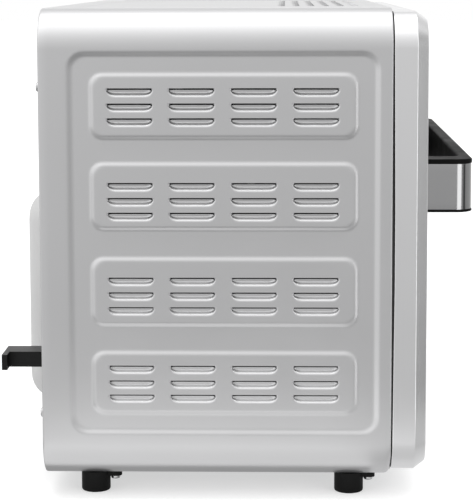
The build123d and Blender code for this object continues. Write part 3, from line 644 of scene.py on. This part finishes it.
def loop_mesh(name, stations, section, mat, body):
    """section: ('o' or 'i', inset into the solid, z) points, closed; one ring per station, capped ends."""
    V, n = [], len(section)
    for o, no, i, ni in stations:
        for ref, d, z in section:
            p, q = (o, no) if ref == "o" else (i, ni)
            V.append((p[0] - q[0] * d, p[1] - q[1] * d, z))
    F = []
    m = len(stations)
    for s in range(m - 1):
        for k in range(n):
            a, b = s * n + k, s * n + (k + 1) % n
            F.append((a, b, b + n, a + n))
    F.append(tuple(range(n - 1, -1, -1)))
    F.append(tuple(range((m - 1) * n, m * n)))
    ob = make(name, V, F, mat, body)
    me = ob.data
    bm = bmesh.new()
    bm.from_mesh(me)
    bmesh.ops.recalc_face_normals(bm, faces=bm.faces)
    for e in bm.edges:
        if len(e.link_faces) == 2 and e.calc_face_angle(0) > math.radians(50):
            e.smooth = False
    bm.to_mesh(me)
    bm.free()
    return ob


def handle():
    st = bow_path()
    z0, z1, b0, b1 = 203.5, 243.4, 205.3, 240.0
    sec = [("o", 1.1, z0), ("o", 0.45, z0 + 0.18), ("o", 0.08, z0 + 0.6), ("o", 0.0, z0 + 1.1), ("o", 0.05, b0 - 0.25),
           ("o", 0.25, b0 - 0.02), ("o", 0.9, b0), ("o", 1.5, b0 + 0.05), ("o", 1.55, b0 + 1.0), ("o", 1.55, b1 - 1.0),
           ("o", 1.5, b1 - 0.05), ("o", 0.9, b1), ("o", 0.25, b1 + 0.02), ("o", 0.05, b1 + 0.3), ("o", 0.0, b1 + 0.9),
           ("o", 0.0, z1 - 1.1), ("o", 0.12, z1 - 0.5), ("o", 0.5, z1 - 0.12), ("o", 1.3, z1), ("o", 3.0, z1),
           ("i", 2.2, z1), ("i", 1.2, z1 - 0.1), ("i", 0.45, z1 - 0.45), ("i", 0.1, z1 - 1.0), ("i", 0.0, z1 - 1.8),
           ("i", 0.0, z1 - 8.0), ("i", 0.0, z0 + 8.0), ("i", 0.0, z0 + 1.8), ("i", 0.1, z0 + 1.0), ("i", 0.5, z0 + 0.3),
           ("i", 1.3, z0)]
    core = loop_mesh("grip_core", st, sec, "grip", "door")
    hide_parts("handle_core")
    c0, c1 = b0 + 0.06, b1 - 0.06
    sec = [("o", 1.45, c0), ("o", 0.85, c0), ("o", 0.62, c0 + 0.08), ("o", 0.52, c0 + 0.3), ("o", 0.5, c0 + 0.6),
           ("o", 0.5, c0 + 6), ("o", 0.5, (c0 + c1) / 2), ("o", 0.5, c1 - 6), ("o", 0.5, c1 - 0.6),
           ("o", 0.52, c1 - 0.3), ("o", 0.62, c1 - 0.08), ("o", 0.85, c1), ("o", 1.45, c1)]
    band = loop_mesh("grip_band", st, sec, "band", "door")
    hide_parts("handle_band")


handle()


# =============================================================== display figures
def segment_digits():
    """Plain numbers on the display: a clock face reading 12:00, made of thin lit bars behind the window."""
    m, nt, b = new_mat("lit_segment")
    glow = noise(nt, coords(nt), 120.0, 2.0)
    nt.links.new(ramp(nt, glow, [(0.2, (0.55, 0.85, 1.0)), (0.8, (0.75, 0.95, 1.0))]), b.inputs["Emission Color"])
    b.inputs["Base Color"].default_value = (0.1, 0.2, 0.25, 1)
    b.inputs["Emission Strength"].default_value = 2.2
    M["lit"] = m
    on = {"1": "bc", "2": "abged", "0": "abcdef"}
    W, Hh, T = 10.0, 19.0, 1.9
    y = -136.45
    V, F = [], []

    def bar(x0, x1, z0, z1):
        # a six-sided bar with pointed ends, 0.12 mm thick
        if x1 - x0 > z1 - z0:
            m_ = (z0 + z1) / 2
            h = (z1 - z0) / 2
            pts = [(x0, m_), (x0 + h, z0), (x1 - h, z0), (x1, m_), (x1 - h, z1), (x0 + h, z1)]
        else:
            m_ = (x0 + x1) / 2
            h = (x1 - x0) / 2
            pts = [(m_, z0), (x1, z0 + h), (x1, z1 - h), (m_, z1), (x0, z1 - h), (x0, z0 + h)]
        base = len(V)
        for yy in (y, y + 0.12):
            for px, pz in pts:
                V.append((px, yy, pz))
        F.append(tuple(base + k for k in range(6)))
        F.append(tuple(base + 6 + k for k in range(5, -1, -1)))
        for k in range(6):
            q = (k + 1) % 6
            F.append((base + k, base + 6 + k, base + 6 + q, base + q))

    def digit(ch, x, z):
        g = 0.35
        # seen from the front, +X is to the right
        seg = {
            "a": (x + g, x + W - g, z + Hh - T, z + Hh), "d": (x + g, x + W - g, z, z + T),
            "g": (x + g, x + W - g, z + Hh / 2 - T / 2, z + Hh / 2 + T / 2),
            "b": (x + W - T, x + W, z + Hh / 2 + g, z + Hh - g), "c": (x + W - T, x + W, z + g, z + Hh / 2 - g),
            "f": (x, x + T, z + Hh / 2 + g, z + Hh - g), "e": (x, x + T, z + g, z + Hh / 2 - g)}
        for s in on[ch]:
            bar(*seg[s])

    zb = 305 - Hh / 2
    for ch, x in zip("1200", (-30.0, -15.5, 5.5, 20.0)):
        digit(ch, x, zb)
    for dz in (5.0, 12.0):
        bar(-1.2, 1.2, zb + dz, zb + dz + 2.3)
    o = make("display_figures", V, F, "lit", "body", smooth=False)


segment_digits()


# =============================================================== stage: floor, light, camera
def stage():
    m, nt, b = new_mat("floor_pale")
    n = noise(nt, coords(nt), 3.0, 2.0)
    nt.links.new(ramp(nt, n, [(0.2, (0.60, 0.60, 0.60)), (0.8, (0.62, 0.62, 0.62))]), b.inputs["Base Color"])
    b.inputs["Roughness"].default_value = 0.9
    b.inputs["Specular IOR Level"].default_value = 0.0
    b.inputs["Emission Color"].default_value = (1, 1, 1, 1)
    b.inputs["Emission Strength"].default_value = 0.50
    me = bpy.data.meshes.new("floor")
    s = 14.0
    me.from_pydata([(-s, -s, 0), (s, -s, 0), (s, s, 0), (-s, s, 0)], [], [(0, 1, 2, 3)])
    me.materials.append(m)
    f = bpy.data.objects.new("floor", me)
    bpy.context.scene.collection.objects.link(f)
    f.visible_glossy = False

    w = bpy.data.worlds.new("studio")
    bpy.context.scene.world = w
    w.use_nodes = True
    nt = w.node_tree
    nt.nodes.clear()
    out = nt.nodes.new("ShaderNodeOutputWorld")
    tc = nt.nodes.new("ShaderNodeTexCoord")
    sep = nt.nodes.new("ShaderNodeSeparateXYZ")
    nt.links.new(tc.outputs["Generated"], sep.inputs[0])
    mr = nt.nodes.new("ShaderNodeMapRange")
    mr.inputs["From Min"].default_value = -1
    mr.inputs["From Max"].default_value = 1
    nt.links.new(sep.outputs["Z"], mr.inputs["Value"])
    k = 1.0 / 1.5
    stops = [(0.0, g3(0.26 * k)), (0.15, g3(0.28 * k)), (0.30, g3(0.36 * k)), (0.40, g3(0.52 * k)), (0.5, g3(0.64 * k)),
             (0.62, g3(0.70 * k)), (0.72, g3(0.78 * k)), (0.815, g3(0.92 * k)), (0.905, g3(1.18 * k)), (0.965, g3(1.45 * k)),
             (1.0, g3(1.5 * k))]
    up = ramp(nt, mr.outputs["Result"], stops)
    my = nt.nodes.new("ShaderNodeMapRange")
    my.inputs["From Min"].default_value = -1
    my.inputs["From Max"].default_value = 1
    nt.links.new(sep.outputs["Y"], my.inputs["Value"])
    near_side = ramp(nt, my.outputs["Result"], [
        (0.0, g3(0.29)), (0.016, g3(0.27)), (0.028, g3(0.05)), (0.062, g3(0.05)), (0.085, g3(0.26)), (0.17, g3(0.38)),
        (0.37, g3(0.41)), (0.44, g3(0.42)), (0.55, g3(0.44)), (0.65, g3(0.56)), (0.86, g3(0.64)), (1.0, g3(0.46))])
    far_side = ramp(nt, my.outputs["Result"], [
        (0.0, g3(0.34)), (0.03, g3(0.35)), (0.10, g3(0.40)), (0.20, g3(0.55)), (0.5, g3(0.60)), (0.86, g3(0.56)), (1.0, g3(0.46))])
    mx_ = nt.nodes.new("ShaderNodeMapRange")
    mx_.inputs["From Min"].default_value = -0.35
    mx_.inputs["From Max"].default_value = 0.15
    nt.links.new(sep.outputs["X"], mx_.inputs["Value"])
    pick = nt.nodes.new("ShaderNodeMix")
    pick.data_type = "RGBA"
    nt.links.new(mx_.outputs["Result"], pick.inputs[0])
    nt.links.new(near_side, pick.inputs[6])
    nt.links.new(far_side, pick.inputs[7])
    across = pick.outputs[2]
    mulc = nt.nodes.new("ShaderNodeMix")
    mulc.data_type = "RGBA"
    mulc.blend_type = "MULTIPLY"
    mulc.inputs[0].default_value = 1.0
    nt.links.new(up, mulc.inputs[6])
    nt.links.new(across, mulc.inputs[7])
    # a duller patch high on the far side, for the turn of the rounded top edges
    patch = ramp(nt, mr.outputs["Result"], [(0.0, g3(1.0)), (0.66, g3(1.0)), (0.76, g3(0.6)), (0.92, g3(0.6)), (0.98, g3(1.0)), (1.0, g3(1.0))])
    fx = nt.nodes.new("ShaderNodeMapRange")
    fx.inputs["From Min"].default_value = 0.15
    fx.inputs["From Max"].default_value = 0.45
    nt.links.new(sep.outputs["X"], fx.inputs["Value"])
    dull = nt.nodes.new("ShaderNodeMix")
    dull.data_type = "RGBA"
    dull.blend_type = "MULTIPLY"
    nt.links.new(fx.outputs["Result"], dull.inputs[0])
    nt.links.new(mulc.outputs[2], dull.inputs[6])
    nt.links.new(patch, dull.inputs[7])
    col = dull.outputs[2]
    bg = nt.nodes.new("ShaderNodeBackground")
    nt.links.new(col, bg.inputs["Color"])
    bg.inputs["Strength"].default_value = 1.5 * 2.0 * 1.14
    bg2 = nt.nodes.new("ShaderNodeBackground")
    bg2.inputs["Color"].default_value = (1, 1, 1, 1)
    bg2.inputs["Strength"].default_value = 1.0
    lp = nt.nodes.new("ShaderNodeLightPath")
    mix = nt.nodes.new("ShaderNodeMixShader")
    nt.links.new(lp.outputs["Is Camera Ray"], mix.inputs["Fac"])
    nt.links.new(bg.outputs[0], mix.inputs[1])
    nt.links.new(bg2.outputs[0], mix.inputs[2])
    nt.links.new(mix.outputs[0], out.inputs[0])

    def area(name, loc, look, size, size_y, power):
        L = bpy.data.lights.new(name, "AREA")
        L.shape = "RECTANGLE"
        L.size, L.size_y = size, size_y
        L.energy = power
        o = bpy.data.objects.new(name, L)
        o.location = loc
        d = Vector(look) - Vector(loc)
        o.rotation_mode = "QUATERNION"
        o.rotation_quaternion = d.to_track_quat("-Z", "Y")
        bpy.context.scene.collection.objects.link(o)
        return o

    area("top_box", (0.0, 0.0, 2.3), (0, 0, 0.2), 1.3, 2.6, 20).visible_glossy = False
    area("side_box", (-1.45, -1.15, 0.75), (-0.19, -0.17, 0.22), 0.75, 1.2, 5).visible_glossy = False
    for name, x, y, sx, sy in (("card_left", -0.350, 0.04, 0.20, 0.28), ("card_right", 0.350, 0.04, 0.20, 0.28),
                               ("card_front", 0.0, -0.24, 0.90, 0.28)):
        c = area(name, (x, y, 0.003), (x, y, 1.0), sx, sy, {"card_front": 0.30, "card_right": 0.38, "card_left": 0.52}[name] * math.pi * sx * sy)
        c.rotation_mode = "XYZ"
        c.rotation_euler = (math.pi, 0, 0)
        c.visible_camera = False

    strip = area("strip_box", (-0.3395, -0.2485, 0.25), (-0.195, -0.170, 0.25), 0.0855, 0.46, 1.2 * math.pi * 0.0855 * 0.46)
    strip.visible_camera = False

    cam = bpy.data.cameras.new("camera")
    co = bpy.data.objects.new("camera", cam)
    bpy.context.scene.collection.objects.link(co)
    cam.sensor_width = 36.0
    cam.sensor_fit = "AUTO"
    cam.lens = 129.36
    cam.shift_x = 0.0
    cam.shift_y = -0.15
    cam.clip_start, cam.clip_end = 0.02, 60
    pitch, roll, yaw = -0.1096, 0.003, 0.0278
    f = Vector((1, 0, 0))
    r = Vector((0, -1, 0))
    u = Vector((0, 0, 1))
    q = Matrix.Rotation(yaw, 3, u)
    f, r = q @ f, q @ r
    q = Matrix.Rotation(pitch, 3, r)
    f, u = q @ f, q @ u
    q = Matrix.Rotation(roll, 3, f)
    r, u = q @ r, q @ u
    co.matrix_world = Matrix(((r.x, u.x, -f.x, -1.5301), (r.y, u.y, -f.y, -0.03774), (r.z, u.z, -f.z, 0.37839), (0, 0, 0, 1)))
    bpy.context.scene.camera = co
    vs = bpy.context.scene.view_settings
    vs.view_transform = "Standard"
    vs.look = "None"
    vs.exposure = 0.0
    vs.gamma = 1.0


stage()
